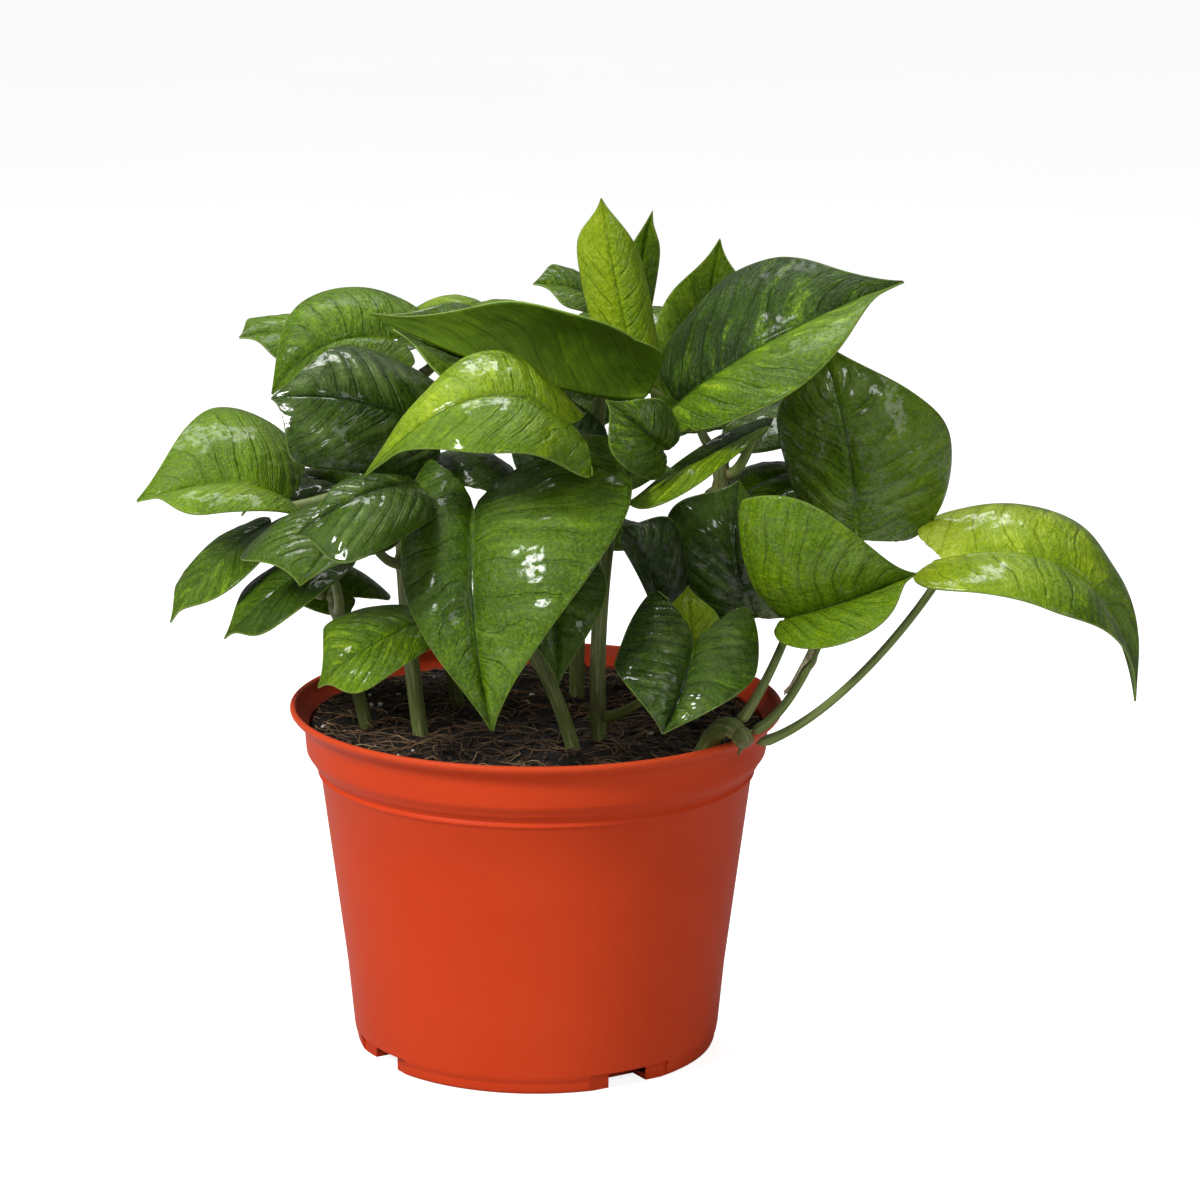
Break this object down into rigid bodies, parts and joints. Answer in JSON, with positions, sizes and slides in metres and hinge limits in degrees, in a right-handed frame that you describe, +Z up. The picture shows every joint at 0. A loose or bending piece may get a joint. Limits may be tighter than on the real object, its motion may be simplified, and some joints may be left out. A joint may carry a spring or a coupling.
{
  "type": "potted pothos plant",
  "caption": "Heart-leaved pothos in a tapered round plastic nursery pot with a rolled lip, a stepped collar and drain slots at the foot.",
  "frame": {"origin": "centre of the pot's foot, on the ground plane", "axes": "+Z up along the pot's axis, -Y towards the front of the plant, +X to its right side where the longest leaf reaches out"},
  "size_m": [0.3272, 0.1979, 0.2882],
  "materials": {
    "pot": "satin terracotta orange",
    "soil": "dark fibrous potting mix",
    "vine": "smooth green stem",
    "leaf_lime": "waxy yellow-green leaf",
    "leaf_fresh": "waxy bright green leaf",
    "leaf_green": "waxy mid green leaf",
    "leaf_deep": "waxy dark green leaf"
  },
  "bodies": {
    "root": {"pot": "pot", "soil": "soil", "vine_centre": "vine", "vine_front": "vine", "vine_left": "vine", "vine_left_low": "vine", "vine_back_left": "vine", "vine_back": "vine", "vine_right": "vine", "vine_rim": "vine", "leaf_front_big": "leaf_green", "leaf_lime_arch": "leaf_lime", "leaf_lime_upright": "leaf_lime", "leaf_young_behind": "leaf_fresh", "leaf_crown_right": "leaf_fresh", "leaf_right_top": "leaf_fresh", "leaf_right_glossy": "leaf_green", "leaf_right_folded": "leaf_green", "leaf_far_right": "leaf_lime", "leaf_front_heart": "leaf_green", "leaf_left_big": "leaf_fresh", "leaf_left_dark": "leaf_deep", "leaf_left_glossy": "leaf_green", "leaf_left_lower": "leaf_green", "leaf_left_veined": "leaf_fresh", "leaf_left_pale_tip": "leaf_fresh", "leaf_upper_long": "leaf_deep", "leaf_crown_back": "leaf_green", "leaf_centre_round": "leaf_deep", "leaf_centre_long": "leaf_deep", "leaf_low_left": "leaf_fresh", "leaf_hanging_olive": "leaf_fresh", "leaf_hanging_green": "leaf_green", "leaf_centre_dark": "leaf_deep", "leaf_right_dark": "leaf_deep", "leaf_front_lower": "leaf_green", "leaf_lime_small": "leaf_lime", "leaf_back_low": "leaf_green", "leaf_back_left_low": "leaf_fresh", "leaf_back_right_low": "leaf_fresh", "leaf_back_high": "leaf_fresh", "leaf_back_left_high": "leaf_green", "leaf_back_right_high": "leaf_green", "leaf_centre_back": "leaf_deep", "leaf_mid_back": "leaf_fresh", "leaf_back_mid": "leaf_green", "leaf_back_left_mid": "leaf_deep", "leaf_back_right_mid": "leaf_deep", "leaf_left_side": "leaf_green", "leaf_back_crown": "leaf_green", "leaf_back_top": "leaf_fresh", "leaf_low_back_left": "leaf_green", "leaf_low_back_right": "leaf_green"}
  },
  "joints": []
}
